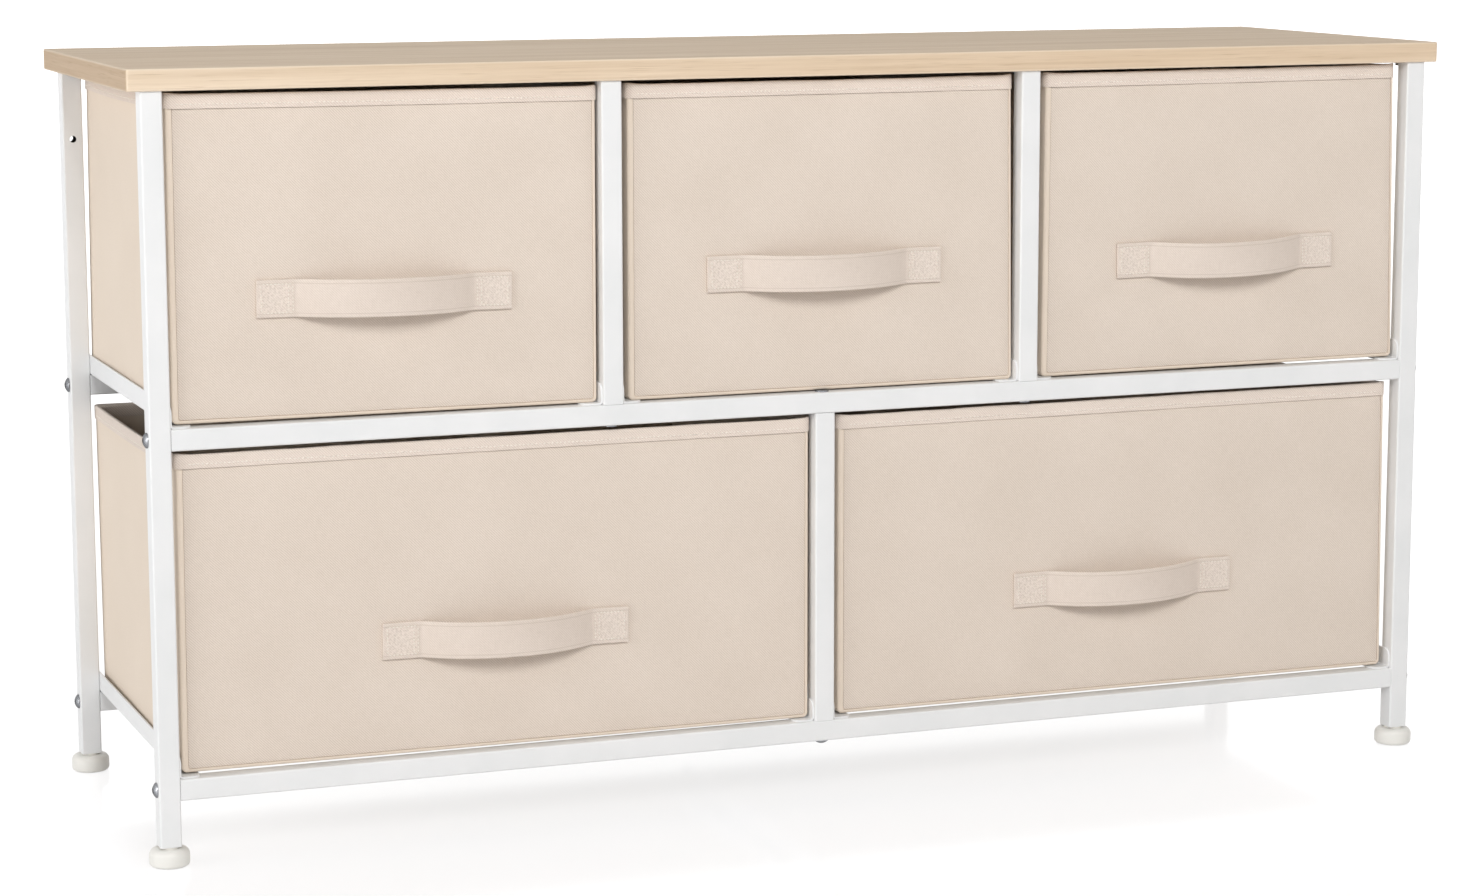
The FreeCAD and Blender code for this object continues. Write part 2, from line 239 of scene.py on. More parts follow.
def pick(kind, test):
    """Selects the faces, edges or corners of the piece in hand that pass a test."""
    bpy.ops.mesh.select_mode(type=kind)
    bpy.ops.mesh.select_all(action="DESELECT")
    data = bpy.context.edit_object.data
    form = bmesh.from_edit_mesh(data)
    if kind == "FACE":
        for face in form.faces:
            if test(face.calc_center_median(), face.normal):
                face.select_set(True)
    elif kind == "EDGE":
        for edge in form.edges:
            first, last = edge.verts[0].co, edge.verts[1].co
            if test((first + last) / 2, (last - first).normalized()):
                edge.select_set(True)
    else:
        for corner in form.verts:
            if test(corner.co):
                corner.select_set(True)
    form.select_flush_mode()
    bmesh.update_edit_mesh(data)


def push(x=0.0, y=0.0, z=0.0):
    bpy.ops.transform.translate(value=(x, y, z))


def draw_out(x=0.0, y=0.0, z=0.0):
    bpy.ops.mesh.extrude_region_move(TRANSFORM_OT_translate={"value": (x, y, z)})


def roll_edges(size, steps):
    bpy.ops.mesh.bevel(offset=size, segments=steps, profile=0.5, affect="EDGES", clamp_overlap=False)


def slice_evenly(axis, low, high, cell):
    """Cuts the whole piece across one axis into strips about a cell wide."""
    count = max(2, round((high - low) / cell))
    normal = [0.0, 0.0, 0.0]
    normal[axis] = 1.0
    for index in range(1, count):
        point = [0.0, 0.0, 0.0]
        point[axis] = low + (high - low) * index / count
        bpy.ops.mesh.select_all(action="SELECT")
        bpy.ops.mesh.bisect(plane_co=point, plane_no=normal, threshold=0.01 * MM)


def place_down():
    bpy.ops.object.transform_apply(location=True, rotation=True, scale=True)


def block(name, low, high):
    bpy.ops.object.select_all(action="DESELECT")
    bpy.ops.mesh.primitive_cube_add(size=1, location=(low + high) / 2)
    piece = bpy.context.object
    piece.name = name
    piece.data.name = name
    piece.scale = high - low
    place_down()
    return piece


def finish_with(piece, kind, **settings):
    """Adds one modifier with its settings and applies it."""
    take(piece)
    step = piece.modifiers.new(kind.title(), kind)
    for key, value in settings.items():
        setattr(step, key, value)
    bpy.ops.object.modifier_apply(modifier=step.name)


def shift_points(piece, group, way, reach, texture=None):
    """Moves points along one axis by their weights, evenly or by a texture to both sides."""
    settings = dict(vertex_group=group, direction=way, strength=reach, mid_level=0.0)
    if texture is not None:
        settings.update(texture=texture, mid_level=0.5)
    finish_with(piece, "DISPLACE", **settings)


def smooth(piece, degrees=35):
    take(piece)
    bpy.ops.object.shade_smooth_by_angle(angle=math.radians(degrees))


def weigh(piece, name, rule):
    """A vertex group whose weight is a rule of place."""
    group = piece.vertex_groups.new(name=name)
    for corner in piece.data.vertices:
        weight = rule(corner.co)
        if weight > 0.0:
            group.add([corner.index], min(weight, 1.0), "REPLACE")
    return name


def ease(value):
    value = min(max(value, 0.0), 1.0)
    return value * value * (3.0 - 2.0 * value)


def ripple(name, size):
    texture = bpy.data.textures.new(name, "CLOUDS")
    texture.noise_scale = size
    texture.noise_depth = 1
    texture.noise_basis = "BLENDER_ORIGINAL"
    return texture


def dress(piece, body, finish, slot, *nodes):
    piece.data.materials.clear()
    piece.data.materials.append(finish)
    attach(piece, body)
    if nodes:
        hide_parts(*nodes)


# Node helpers
def add(tree, kind, **settings):
    made = tree.nodes.new(kind)
    for key, value in settings.items():
        setattr(made, key, value)
    return made


def feed(tree, target, source):
    if isinstance(source, bpy.types.NodeSocket):
        tree.links.new(source, target)
    else:
        target.default_value = source


def reckon(tree, operation, first, second=None, third=None):
    made = add(tree, "ShaderNodeMath", operation=operation)
    for target, source in zip(made.inputs, (first, second, third)):
        if source is not None:
            feed(tree, target, source)
    return made.outputs[0]


def noise(tree, place, scale, detail=2.0, rough=0.5):
    made = add(tree, "ShaderNodeTexNoise")
    feed(tree, made.inputs["Vector"], place)
    made.inputs["Scale"].default_value = scale
    made.inputs["Detail"].default_value = detail
    made.inputs["Roughness"].default_value = rough
    return made.outputs["Fac"]


def stretch(tree, place, scale, turn=(0.0, 0.0, 0.0)):
    made = add(tree, "ShaderNodeMapping")
    feed(tree, made.inputs["Vector"], place)
    made.inputs["Scale"].default_value = scale
    made.inputs["Rotation"].default_value = turn
    return made.outputs["Vector"]


def spread(tree, value, low, high, to_low=0.0, to_high=1.0):
    made = add(tree, "ShaderNodeMapRange", clamp=True)
    feed(tree, made.inputs["Value"], value)
    made.inputs["From Min"].default_value = low
    made.inputs["From Max"].default_value = high
    made.inputs["To Min"].default_value = to_low
    made.inputs["To Max"].default_value = to_high
    return made.outputs["Result"]


def blend_values(tree, factor, first, second):
    made = add(tree, "ShaderNodeMix", data_type="FLOAT")
    feed(tree, made.inputs[0], factor)
    feed(tree, made.inputs[2], first)
    feed(tree, made.inputs[3], second)
    return made.outputs[0]


def blend_colours(tree, factor, first, second, way="MIX"):
    made = add(tree, "ShaderNodeMix", data_type="RGBA", blend_type=way)
    feed(tree, made.inputs[0], factor)
    feed(tree, made.inputs[6], first)
    feed(tree, made.inputs[7], second)
    return made.outputs[2]


def raise_up(tree, height, distance, strength=1.0, normal=None):
    made = add(tree, "ShaderNodeBump")
    made.inputs["Strength"].default_value = strength
    made.inputs["Distance"].default_value = distance
    feed(tree, made.inputs["Height"], height)
    if normal is not None:
        feed(tree, made.inputs["Normal"], normal)
    return made.outputs["Normal"]


def colour(red, green, blue):
    """A shown colour from 0 to 255, as the linear value that a shader takes."""
    made = []
    for part in (red, green, blue):
        share = part / 255.0
        made.append(share / 12.92 if share <= 0.04045 else ((share + 0.055) / 1.055) ** 2.4)
    return (*made, 1.0)


def new_group(name, inputs, outputs):
    group = bpy.data.node_groups.new(name, "ShaderNodeTree")
    for label, kind, value in inputs:
        socket = group.interface.new_socket(label, in_out="INPUT", socket_type=kind)
        if value is not None:
            socket.default_value = value
    for label, kind in outputs:
        group.interface.new_socket(label, in_out="OUTPUT", socket_type=kind)
    start = add(group, "NodeGroupInput")
    end = add(group, "NodeGroupOutput")
    return group, start, end


def use_group(tree, group, **inputs):
    made = add(tree, "ShaderNodeGroup", node_tree=group)
    for label, source in inputs.items():
        feed(tree, made.inputs[label.replace("_", " ")], source)
    return made


def new_finish(name):
    finish = bpy.data.materials.new(name)
    finish.use_nodes = True
    tree = finish.node_tree
    shader = tree.nodes["Principled BSDF"]
    place = add(tree, "ShaderNodeTexCoord").outputs["Object"]
    return finish, tree, shader, place


VECTOR = "NodeSocketVector"
FLOAT = "NodeSocketFloat"


def make_lay_flat():
    """Turns a place into flat cloth coordinates on whichever wall it lies."""
    group, start, end = new_group("lay_flat", [("Place", VECTOR, None)], [("Flat", VECTOR)])
    place = add(group, "ShaderNodeSeparateXYZ")
    feed(group, place.inputs[0], start.outputs["Place"])
    facing = add(group, "ShaderNodeSeparateXYZ")
    feed(group, facing.inputs[0], add(group, "ShaderNodeNewGeometry").outputs["Normal"])
    sideways = reckon(group, "GREATER_THAN", reckon(group, "ABSOLUTE", facing.outputs[0]), 0.7)
    level = reckon(group, "GREATER_THAN", reckon(group, "ABSOLUTE", facing.outputs[2]), 0.7)
    joined = add(group, "ShaderNodeCombineXYZ")
    feed(group, joined.inputs[0], blend_values(group, sideways, place.outputs[0], place.outputs[1]))
    feed(group, joined.inputs[1], blend_values(group, level, place.outputs[2], place.outputs[1]))
    feed(group, end.inputs["Flat"], joined.outputs[0])
    return group


def make_weave():
    """Twill threads with slubs, from flat cloth coordinates in metres."""
    inputs = [("Flat", VECTOR, None), ("Pitch", FLOAT, 0.0007), ("Slub", FLOAT, 0.5)]
    group, start, end = new_group("weave", inputs, [("Height", FLOAT), ("Tone", FLOAT)])
    flat = start.outputs["Flat"]
    drift = add(group, "ShaderNodeVectorMath", operation="SCALE")
    wander = add(group, "ShaderNodeTexNoise")
    feed(group, wander.inputs["Vector"], flat)
    wander.inputs["Scale"].default_value = 45.0
    wander.inputs["Detail"].default_value = 3.0
    feed(group, drift.inputs[0], wander.outputs["Color"])
    drift.inputs["Scale"].default_value = 0.0012
    shifted = add(group, "ShaderNodeVectorMath", operation="ADD")
    feed(group, shifted.inputs[0], flat)
    feed(group, shifted.inputs[1], drift.outputs[0])
    parts = add(group, "ShaderNodeSeparateXYZ")
    feed(group, parts.inputs[0], shifted.outputs[0])
    warp_place = reckon(group, "DIVIDE", parts.outputs[0], start.outputs["Pitch"])
    weft_place = reckon(group, "DIVIDE", parts.outputs[1], start.outputs["Pitch"])
    warp = reckon(group, "ABSOLUTE", reckon(group, "SINE", reckon(group, "MULTIPLY", warp_place, math.pi)))
    weft = reckon(group, "ABSOLUTE", reckon(group, "SINE", reckon(group, "MULTIPLY", weft_place, math.pi)))
    step = reckon(group, "MULTIPLY", reckon(group, "ADD", warp_place, weft_place), math.pi / 2)
    over = reckon(group, "MULTIPLY_ADD", reckon(group, "SINE", step), 0.5, 0.5)
    level_slub = noise(group, stretch(group, flat, (130.0, 1150.0, 1.0)), 1.0, 2.0)
    upright_slub = noise(group, stretch(group, flat, (1150.0, 110.0, 1.0)), 1.0, 2.0)
    cloudy = noise(group, flat, 16.0, 4.0)
    slubs = reckon(group, "ADD", spread(group, level_slub, 0.3, 0.7), spread(group, upright_slub, 0.3, 0.7))
    slubs = reckon(group, "MULTIPLY", slubs, 0.5)
    slubs = reckon(group, "MULTIPLY", slubs, 0.65)
    slubs = reckon(group, "MULTIPLY_ADD", spread(group, cloudy, 0.3, 0.7), 0.35, slubs)
    feed(group, end.inputs["Height"], blend_values(group, over, weft, warp))
    feed(group, end.inputs["Tone"], blend_values(group, start.outputs["Slub"], over, slubs))
    return group


def make_edge_line():
    """Where a place lies within a hair of two faces of a box: its edges."""
    inputs = [(label, VECTOR, None) for label in ("Place", "Middle", "Half")]
    group, start, end = new_group("edge_line", inputs + [("Reach", FLOAT, 0.001)], [("Edge", FLOAT)])
    away = add(group, "ShaderNodeVectorMath", operation="SUBTRACT")
    feed(group, away.inputs[0], start.outputs["Place"])
    feed(group, away.inputs[1], start.outputs["Middle"])
    apart = add(group, "ShaderNodeVectorMath", operation="ABSOLUTE")
    feed(group, apart.inputs[0], away.outputs[0])
    depth = add(group, "ShaderNodeVectorMath", operation="SUBTRACT")
    feed(group, depth.inputs[0], start.outputs["Half"])
    feed(group, depth.inputs[1], apart.outputs[0])
    parts = add(group, "ShaderNodeSeparateXYZ")
    feed(group, parts.inputs[0], depth.outputs[0])
    x, y, z = parts.outputs
    inner = reckon(group, "MINIMUM", reckon(group, "MAXIMUM", x, y), z)
    second = reckon(group, "MAXIMUM", reckon(group, "MINIMUM", x, y), inner)
    near = reckon(group, "SUBTRACT", 1.0, reckon(group, "DIVIDE", second, start.outputs["Reach"]))
    feed(group, end.inputs["Edge"], spread(group, near, 0.0, 0.6))
    return group


def make_grain():
    """Fine straight grain with darker pores, along X and, on the board's ends, along Y."""
    outputs = [("Streak", FLOAT), ("Pore", FLOAT), ("Figure", FLOAT), ("End", FLOAT)]
    group, start, end = new_group("oak_grain", [("Place", VECTOR, None)], outputs)
    facing = add(group, "ShaderNodeSeparateXYZ")
    feed(group, facing.inputs[0], add(group, "ShaderNodeNewGeometry").outputs["Normal"])
    at_end = reckon(group, "GREATER_THAN", reckon(group, "ABSOLUTE", facing.outputs[0]), 0.7)
    given = add(group, "ShaderNodeSeparateXYZ")
    feed(group, given.inputs[0], start.outputs["Place"])
    turned = add(group, "ShaderNodeCombineXYZ")
    for target, source in zip(turned.inputs, (given.outputs[1], given.outputs[0], given.outputs[2])):
        feed(group, target, source)
    chosen = add(group, "ShaderNodeMix", data_type="VECTOR")
    feed(group, chosen.inputs[0], at_end)
    feed(group, chosen.inputs[4], start.outputs["Place"])
    feed(group, chosen.inputs[5], turned.outputs[0])
    place = chosen.outputs[1]
    bend = noise(group, stretch(group, place, (1.4, 9.0, 9.0)), 1.0, 2.0)
    lifted = add(group, "ShaderNodeVectorMath", operation="ADD")
    lift = add(group, "ShaderNodeCombineXYZ")
    feed(group, lift.inputs[1], reckon(group, "MULTIPLY", bend, 0.02))
    feed(group, lift.inputs[2], reckon(group, "MULTIPLY", bend, 0.006))
    feed(group, lifted.inputs[0], place)
    feed(group, lifted.inputs[1], lift.outputs[0])
    wavy = lifted.outputs[0]
    broad = noise(group, stretch(group, wavy, (2.2, 42.0, 42.0)), 1.0, 3.0)
    fine = noise(group, stretch(group, wavy, (6.0, 380.0, 380.0)), 1.0, 4.0, 0.6)
    streak = reckon(group, "MULTIPLY_ADD", fine, 0.55, reckon(group, "MULTIPLY", broad, 0.45))
    pore = spread(group, noise(group, stretch(group, wavy, (32.0, 1500.0, 1500.0)), 1.0, 1.0), 0.62, 0.74)
    figure = noise(group, stretch(group, wavy, (1.1, 13.0, 13.0)), 1.0, 2.0)
    feed(group, end.inputs["Streak"], spread(group, streak, 0.32, 0.68))
    feed(group, end.inputs["Pore"], pore)
    feed(group, end.inputs["End"], at_end)
    feed(group, end.inputs["Figure"], spread(group, figure, 0.3, 0.7))
    return group


def make_tube_inside():
    """Where a place lies on the inner walls of a leg's tube, which the coat doesn't reach; these walls are
    painted dark, as bare steel and as painted shade inside the tube.
    """
    group, start, end = new_group("tube_inside", [("Place", VECTOR, None)], [("Inside", FLOAT)])
    parts = add(group, "ShaderNodeSeparateXYZ")
    feed(group, parts.inputs[0], start.outputs["Place"])
    across = reckon(group, "SUBTRACT", reckon(group, "ABSOLUTE", parts.outputs[0]), LEG_X)
    along = reckon(group, "ABSOLUTE", reckon(group, "SUBTRACT", parts.outputs[1], LEG_Y))
    along = reckon(group, "SUBTRACT", along, LEG_Y_SPREAD)
    widest = reckon(group, "MAXIMUM", reckon(group, "ABSOLUTE", across), reckon(group, "ABSOLUTE", along))
    feed(group, end.inputs["Inside"], reckon(group, "LESS_THAN", widest, TUBE_INSIDE))
    return group


def make_orange_peel():
    """The low dimples of a sprayed or moulded skin."""
    inputs = [("Place", VECTOR, None), ("Size", FLOAT, 900.0)]
    group, start, end = new_group("orange_peel", inputs, [("Height", FLOAT), ("Mottle", FLOAT)])
    made = add(group, "ShaderNodeTexNoise")
    feed(group, made.inputs["Vector"], start.outputs["Place"])
    feed(group, made.inputs["Scale"], start.outputs["Size"])
    made.inputs["Detail"].default_value = 2.0
    feed(group, end.inputs["Height"], made.outputs["Fac"])
    feed(group, end.inputs["Mottle"], spread(group, noise(group, start.outputs["Place"], 22.0, 4.0), 0.3, 0.7))
    return group


lay_flat = make_lay_flat()
weave = make_weave()
edge_line = make_edge_line()
oak_grain = make_grain()
orange_peel = make_orange_peel()
tube_inside = make_tube_inside()


def woven_finish(name, dark, light, pitch, slub, by_strap=False):
    finish, tree, shader, place = new_finish(name)
    if by_strap:
        flat = add(tree, "ShaderNodeUVMap", uv_map="strap").outputs[0]
    else:
        flat = use_group(tree, lay_flat, Place=place).outputs["Flat"]
    cloth = use_group(tree, weave, Flat=flat, Pitch=pitch, Slub=slub)
    tone = cloth.outputs["Tone"]
    normal = raise_up(tree, cloth.outputs["Height"], 0.14 * MM, 0.6)
    if by_strap:
        parts = add(tree, "ShaderNodeSeparateXYZ")
        feed(tree, parts.inputs[0], flat)
        run = reckon(tree, "ABSOLUTE", parts.outputs[0])
        across = reckon(tree, "ABSOLUTE", parts.outputs[1])
        sewn = spread(tree, run, SEWN_NEAR, SEWN_NEAR + SEWN_FADE)
        sewn = reckon(tree, "MULTIPLY", sewn, spread(tree, run, SEWN_FAR, SEWN_FAR - SEWN_FADE))
        sewn = reckon(tree, "MULTIPLY", sewn, spread(tree, across, SEWN_HALF, SEWN_HALF - SEWN_HALF_FADE))
        speck = spread(tree, noise(tree, flat, 640.0, 2.0, 0.6), 0.36, 0.64)
        pucker = reckon(tree, "MULTIPLY", speck, sewn)
        rough_tone = reckon(tree, "MULTIPLY_ADD", reckon(tree, "SUBTRACT", speck, 0.26), 0.8, tone)
        # Along the fold line the tone is darkened: painted shade in the crease. The bump below also lowers it
        # there.
        fold = reckon(tree, "ABSOLUTE", reckon(tree, "SUBTRACT", across, FOLD_LINE))
        fold = spread(tree, fold, FOLD_LINE_WIDE, 0.0)
        tone = reckon(tree, "MULTIPLY_ADD", fold, -0.5, blend_values(tree, sewn, tone, rough_tone))
        relief = reckon(tree, "SUBTRACT", pucker, reckon(tree, "MULTIPLY", fold, 0.5))
        normal = raise_up(tree, relief, 0.3 * MM, 0.6, normal)
    feed(tree, shader.inputs["Base Color"], blend_colours(tree, tone, dark, light))
    feed(tree, shader.inputs["Roughness"], spread(tree, cloth.outputs["Height"], 0.0, 1.0, 0.95, 0.82))
    feed(tree, shader.inputs["Normal"], normal)
    shader.inputs["Specular IOR Level"].default_value = 0.2
    shader.inputs["Sheen Weight"].default_value = 0.12
    shader.inputs["Sheen Roughness"].default_value = 0.5
    return finish


def nonwoven_finish():
    """Smooth cream lining cloth with pressed fibres."""
    finish, tree, shader, place = new_finish("cream_lining_cloth")
    flat = use_group(tree, lay_flat, Place=place).outputs["Flat"]
    fibre = noise(tree, flat, 900.0, 4.0, 0.65)
    cloudy = noise(tree, flat, 14.0, 4.0)
    cloudy = reckon(tree, "MULTIPLY", cloudy, 0.55)
    tone = reckon(tree, "MULTIPLY_ADD", spread(tree, fibre, 0.3, 0.7), 0.45, cloudy)
    dyed = blend_colours(tree, tone, colour(227, 211, 193), colour(240, 226, 210))
    feed(tree, shader.inputs["Base Color"], dyed)
    feed(tree, shader.inputs["Roughness"], spread(tree, fibre, 0.2, 0.8, 0.75, 0.9))
    feed(tree, shader.inputs["Normal"], raise_up(tree, fibre, 0.12 * MM, 0.6))
    shader.inputs["Specular IOR Level"].default_value = 0.25
    shader.inputs["Sheen Weight"].default_value = 0.08
    return finish


def thread_finish():
    finish, tree, shader, place = new_finish("pale_thread")
    twist = add(tree, "ShaderNodeTexWave", wave_type="BANDS", bands_direction="DIAGONAL")
    feed(tree, twist.inputs["Vector"], place)
    twist.inputs["Scale"].default_value = 700.0
    dyed = blend_colours(tree, twist.outputs["Fac"], colour(236, 226, 214), colour(249, 242, 233))
    feed(tree, shader.inputs["Base Color"], dyed)
    shader.inputs["Roughness"].default_value = 0.7
    shader.inputs["Specular IOR Level"].default_value = 0.3
    return finish


def oak_finish():
    finish, tree, shader, place = new_finish("oak_foil")
    wood = use_group(tree, oak_grain, Place=place)
    base = blend_colours(tree, wood.outputs["Streak"], colour(213, 190, 162), colour(237, 218, 194))
    figure = reckon(tree, "MULTIPLY", wood.outputs["Figure"], 0.35)
    toned = blend_colours(tree, figure, base, colour(238, 228, 216), "MULTIPLY")
    pores = reckon(tree, "MULTIPLY", wood.outputs["Pore"], 0.35)
    pored = blend_colours(tree, pores, toned, colour(180, 152, 120))
    # The edge mask below lightens the board along its edges: a painted highlight where the rounded edges would
    # catch the light.
    low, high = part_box("top_board")
    rim = use_group(tree, edge_line, Place=place, Middle=(low + high) / 2, Half=(high - low) / 2, Reach=1.6 * MM)
    # The board's end faces are multiplied darker: painted shade on the ends.
    ends_shaded = blend_colours(tree, wood.outputs["End"], pored, colour(222, 215, 207), "MULTIPLY")
    edge_highlight = reckon(tree, "MULTIPLY", rim.outputs["Edge"], 0.35)
    feed(tree, shader.inputs["Base Color"], blend_colours(tree, edge_highlight, ends_shaded, colour(244, 231, 214)))
    feed(tree, shader.inputs["Roughness"], spread(tree, wood.outputs["Streak"], 0.0, 1.0, 0.62, 0.54))
    relief = reckon(tree, "SUBTRACT", wood.outputs["Streak"], wood.outputs["Pore"])
    feed(tree, shader.inputs["Normal"], raise_up(tree, relief, 0.08 * MM, 0.5))
    shader.inputs["Specular IOR Level"].default_value = 0.2
    return finish


def coated_finish(name, low, high, size, rough, distance, bare_and_shaded_inside=False):
    finish, tree, shader, place = new_finish(name)
    skin = use_group(tree, orange_peel, Place=place, Size=size)
    coat = blend_colours(tree, skin.outputs["Mottle"], low, high)
    # Inside the legs' tubes the coat gives way to dark grey: bare steel, darkened further as painted shade
    # inside the tube.
    if bare_and_shaded_inside:
        bare = use_group(tree, tube_inside, Place=place).outputs["Inside"]
        coat = blend_colours(tree, bare, coat, colour(74, 72, 70))
    feed(tree, shader.inputs["Base Color"], coat)
    feed(tree, shader.inputs["Roughness"], spread(tree, skin.outputs["Mottle"], 0.0, 1.0, rough, rough + 0.08))
    feed(tree, shader.inputs["Normal"], raise_up(tree, skin.outputs["Height"], distance, 0.35))
    return finish


def zinc_finish():
    finish, tree, shader, place = new_finish("bright_zinc")
    skin = use_group(tree, orange_peel, Place=place, Size=1600.0)
    plain = blend_colours(tree, skin.outputs["Mottle"], colour(116, 118, 122), colour(172, 174, 178))
    # Where the head turns away from view, its colour goes to dark grey: painted shade that outlines the bolt
    # head.
    turned = add(tree, "ShaderNodeLayerWeight")
    turned.inputs["Blend"].default_value = 0.4
    rim_shade = spread(tree, turned.outputs["Facing"], 0.25, 0.75)
    feed(tree, shader.inputs["Base Color"], blend_colours(tree, rim_shade, plain, colour(58, 60, 64)))
    feed(tree, shader.inputs["Roughness"], spread(tree, skin.outputs["Height"], 0.3, 0.7, 0.2, 0.36))
    shader.inputs["Metallic"].default_value = 1.0
    return finish


def fibreboard_finish():
    finish, tree, shader, place = new_finish("bare_fibreboard")
    fibre = noise(tree, stretch(tree, place, (420.0, 420.0, 420.0)), 1.0, 5.0, 0.7)
    flake = noise(tree, place, 60.0, 3.0)
    tone = reckon(tree, "MULTIPLY_ADD", fibre, 0.6, reckon(tree, "MULTIPLY", flake, 0.4))
    pressed = blend_colours(tree, spread(tree, tone, 0.3, 0.7), colour(158, 128, 94), colour(196, 168, 130))
    feed(tree, shader.inputs["Base Color"], pressed)
    feed(tree, shader.inputs["Normal"], raise_up(tree, fibre, 0.1 * MM, 0.5))
    shader.inputs["Roughness"].default_value = 0.8
    return finish


linen = woven_finish("beige_linen", colour(208, 193, 178), colour(242, 229, 217), 0.475 * MM, 0.36)
hem_cloth = woven_finish("hem_linen", colour(213, 198, 185), colour(244, 231, 220), 0.475 * MM, 0.4)
strap_cloth = woven_finish("strap_linen", colour(211, 196, 183), colour(240, 227, 216), 0.45 * MM, 0.5, True)
lining = nonwoven_finish()
thread = thread_finish()
oak = oak_finish()
powder_coat = coated_finish(
    "white_powder_coat", colour(230, 231, 231), colour(236, 236, 236), 900.0, 0.34, 0.06 * MM, True
)
ivory = coated_finish("ivory_moulding", colour(232, 230, 224), colour(239, 237, 231), 420.0, 0.42, 0.08 * MM)
black_nylon = coated_finish("black_nylon", colour(28, 28, 29), colour(40, 40, 41), 500.0, 0.45, 0.06 * MM)
zinc = zinc_finish()
fibreboard = fibreboard_finish()


# Drawers
def sew_shell(bay):
    """The cream cloth box: rolled edges, a recess for the linen, a thick front wall."""
    low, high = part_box(bay + "_bin")
    high.z -= RIM_SUNK
    middle = (low + high) / 2
    half = (high.x - low.x) / 2
    shell = block(bay + "_shell", low, high)
    edit(shell)
    pick("EDGE", lambda p, d: abs(d.y) > 0.9 and p.z < low.z + HAIR)
    roll_edges(LOWER_CORNER, 5)
    for face_y in (low.y, high.y):
        pick("EDGE", lambda p, d: abs(p.y - face_y) < HAIR and p.z < high.z - HAIR)
        roll_edges(EDGE_ROLL, 4)
    pick("FACE", lambda p, n: n.z > 0.9)
    bpy.ops.mesh.inset(thickness=WALL, depth=0.0)
    draw_out(z=low.z + FLOOR - high.z)
    pick(
        "VERT",
        lambda p: abs(p.y - low.y - WALL) < INSET_PLAY
        and abs(p.x - middle.x) < half - WALL + INSET_PLAY
        and (p.z > high.z - HAIR or abs(p.z - low.z - FLOOR) < HAIR),
    )
    push(y=FRONT_WALL - WALL)
    pick("FACE", lambda p, n: n.y < -0.9 and p.y < low.y + HAIR)
    bpy.ops.mesh.inset(thickness=SEAM_LAP, depth=0.0)
    right = high.x - EDGE_ROLL - SEAM_LAP
    span = right - low.x - EDGE_ROLL - SEAM_LAP
    bpy.ops.transform.resize(value=(1.0 - SEAM_LEFT / span, 1.0, 1.0), center_override=(right, low.y, middle.z))
    draw_out(y=SEAM_DEPTH)
    for axis in range(3):
        slice_evenly(axis, low[axis], high[axis], WALL_CELL)
    done()

    def fade(value, first, last, last_run=SLACK_FADE):
        return ease((value - first) / SLACK_FADE) * ease((last - value) / last_run)

    def side_slack(p):
        if abs(p.x - middle.x) < half - WALL - HAIR:
            return 0.0
        return fade(p.y, low.y, high.y) * fade(p.z, low.z, high.z, SLACK_RIM)

    def rear_slack(p):
        if p.y < high.y - WALL - HAIR:
            return 0.0
        return fade(p.x, low.x, high.x) * fade(p.z, low.z, high.z, SLACK_RIM)

    drape = ripple(bay + "_wall_drape", WALL_WAVE_LONG)
    for name, rule, way in (("side_slack", side_slack, "X"), ("rear_slack", rear_slack, "Y")):
        shift_points(shell, weigh(shell, name, rule), way, WALL_WAVE, drape)
    smooth(shell)
    dress(shell, bay + "_drawer", lining, "drawer_fabric", bay + "_bin")
    return shell


def cut_stiffener(bay):
    """The board in the pocket of the front wall, which leans with the cloth."""
    low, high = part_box(bay + "_front_board")
    high.z -= RIM_SUNK
    board = block(bay + "_stiffener", low, high)
    finish_with(board, "BEVEL", width=STIFFENER_EDGE, segments=2)
    smooth(board)
    dress(board, bay + "_drawer", fibreboard, "fibreboard", bay + "_front_board")
    return board


def sew_front_panel(bay):
    """The linen front, stretched over the board behind it and sunk at its seam."""
    low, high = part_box(bay + "_bin")
    edge = EDGE_ROLL + SEAM_LAP + PANEL_GAP
    left, right = low.x + edge + SEAM_LEFT, high.x - edge
    bottom, top = low.z + edge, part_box(bay + "_hem")[0].z + PANEL_TUCK
    width, height = right - left, top - bottom
    bpy.ops.object.select_all(action="DESELECT")
    bpy.ops.mesh.primitive_grid_add(
        x_subdivisions=round(width / PANEL_CELL),
        y_subdivisions=round(height / PANEL_CELL),
        size=1,
        location=((left + right) / 2, low.y + PANEL_SUNK, (bottom + top) / 2),
        rotation=(math.pi / 2, 0, 0),
    )
    panel = bpy.context.object
    panel.name = bay + "_front_panel"
    panel.data.name = panel.name
    panel.scale = (width, height, 1)
    place_down()
    edit(panel)
    pick("VERT", lambda p: p.z < bottom + HAIR and (p.x < left + HAIR or p.x > right - HAIR))
    bpy.ops.mesh.bevel(offset=PANEL_CORNER, segments=4, affect="VERTICES")
    done()

    def inward(p):
        near = min(p.x - left, right - p.x, p.z - bottom, top - p.z + PANEL_TUCK)
        return ease(near / PANEL_PULL)

    pulled = weigh(panel, "pulled", inward)
    shift_points(panel, pulled, "Y", -PANEL_CROWN)
    shift_points(panel, pulled, "Y", PANEL_WAVE, ripple(bay + "_panel_wave", PANEL_WAVE_LONG))
    finish_with(panel, "SOLIDIFY", thickness=PANEL_THICK, offset=-1.0)
    finish_with(panel, "BEVEL", width=PANEL_EDGE, segments=2, limit_method="ANGLE", angle_limit=math.radians(50))
    smooth(panel, 50)
    dress(panel, bay + "_drawer", linen, "drawer_fabric")
    return panel


